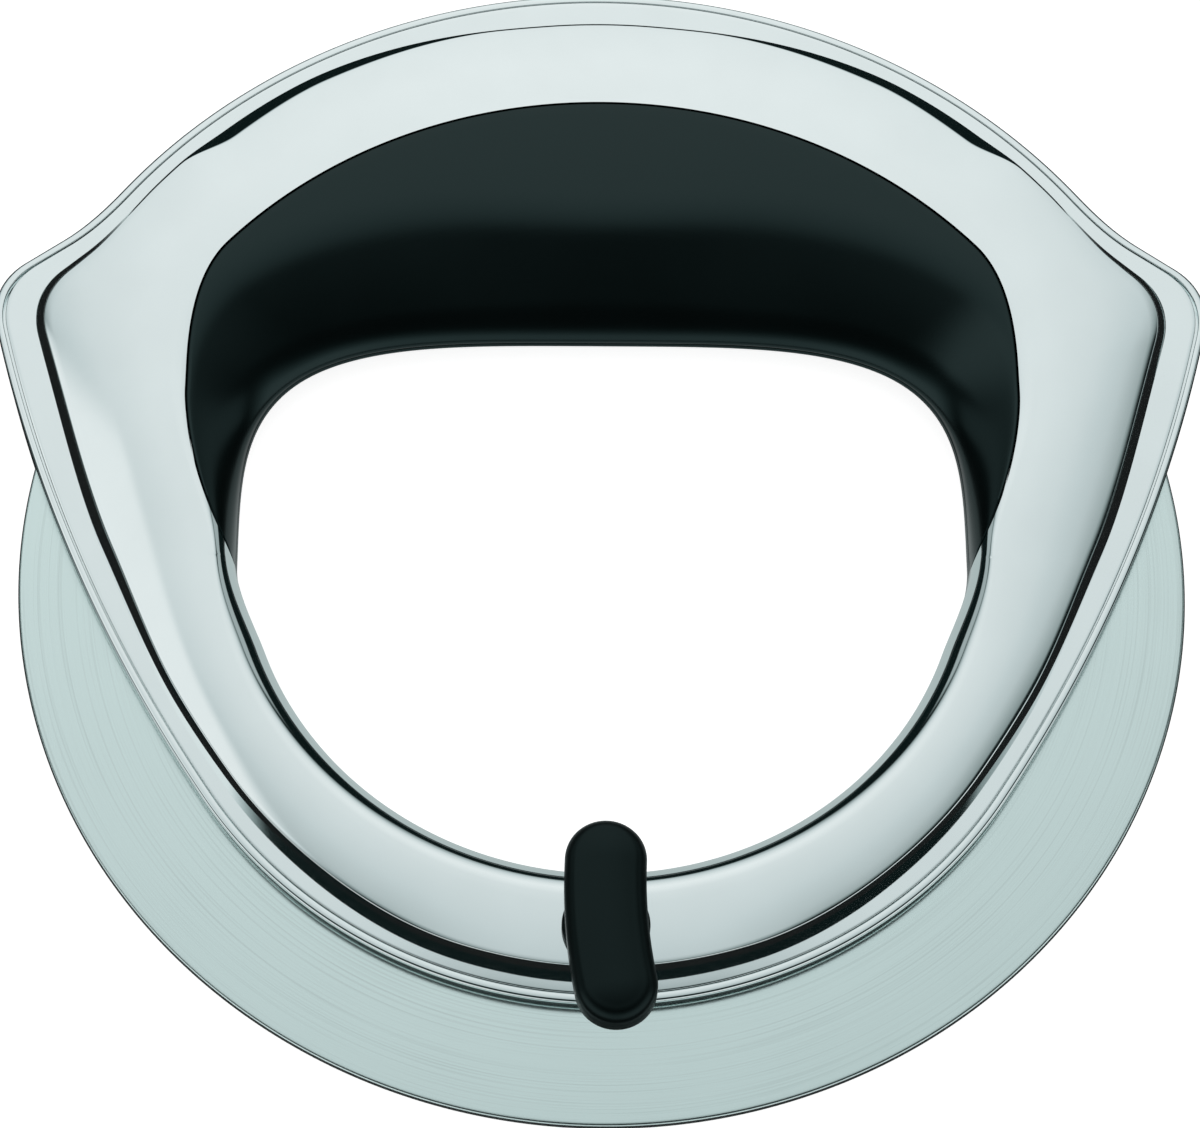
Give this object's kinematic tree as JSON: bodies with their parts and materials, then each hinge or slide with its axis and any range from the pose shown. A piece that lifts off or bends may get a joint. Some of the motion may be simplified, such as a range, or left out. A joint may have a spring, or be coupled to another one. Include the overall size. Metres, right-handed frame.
{
  "type": "pizza wheel",
  "caption": "Hubless pizza wheel: a ring blade turns inside a polished two-part hand housing with a finger opening, black grip crescent and quarter-turn lock lever.",
  "frame": {"origin": "on the surface that the wheel lies on, under the middle of its box", "axes": "+Z along the blade's axis, out of the face with the lever; +Y to the palm edge of the housing"},
  "size_m": [0.1604, 0.1606, 0.0182],
  "materials": {
    "polished_steel": "mirror-polished stainless steel",
    "brushed_blade_steel": "stainless steel brushed in circles, with a ground edge",
    "plain_steel": "plain stainless steel",
    "black_grip": "matte black moulded plastic",
    "black_lever": "satin black moulded plastic",
    "natural_acetal": "natural white acetal"
  },
  "bodies": {
    "housing": {"front_frame": "polished_steel", "rear_frame": "polished_steel", "front_shell": "polished_steel", "rear_shell": "polished_steel", "front_grip": "black_grip", "rear_grip": "black_grip", "guide_ring": "natural_acetal", "front_glide_ring": "natural_acetal", "rear_glide_ring": "natural_acetal", "guard_spacer": "plain_steel", "palm_hook": "plain_steel", "keeper_hook": "plain_steel", "lever_collar": "black_lever", "wave_washer": "plain_steel", "ear_dowel_1": "plain_steel", "ear_dowel_2": "plain_steel", "front_grip_screw_1": "plain_steel", "front_grip_screw_2": "plain_steel", "front_grip_screw_3": "plain_steel", "rear_grip_screw_1": "plain_steel", "rear_grip_screw_2": "plain_steel", "rear_grip_screw_3": "plain_steel", "guide_rivet_1": "plain_steel", "guide_rivet_2": "plain_steel", "guide_rivet_3": "plain_steel", "guide_rivet_4": "plain_steel", "guide_rivet_5": "plain_steel", "spacer_rivet_1": "plain_steel", "spacer_rivet_2": "plain_steel", "spacer_rivet_3": "plain_steel", "spacer_rivet_4": "plain_steel"},
    "blade": {"blade_ring": "brushed_blade_steel"},
    "lock": {"lock_lever": "black_lever", "lock_shaft": "plain_steel", "lock_latch": "plain_steel", "shaft_circlip": "plain_steel"}
  },
  "joints": [
    {"name": "blade_spin", "type": "hinge", "parent": "housing", "child": "blade", "pos_m": [0, -0.00535, 0.0062], "axis": [0, 0, 1], "continuous": true},
    {"name": "lock_turn", "type": "hinge", "parent": "housing", "child": "lock", "pos_m": [0, -0.05695, 0.0062], "axis": [0, 0, 1], "range_deg": [0, 90]}
  ]
}
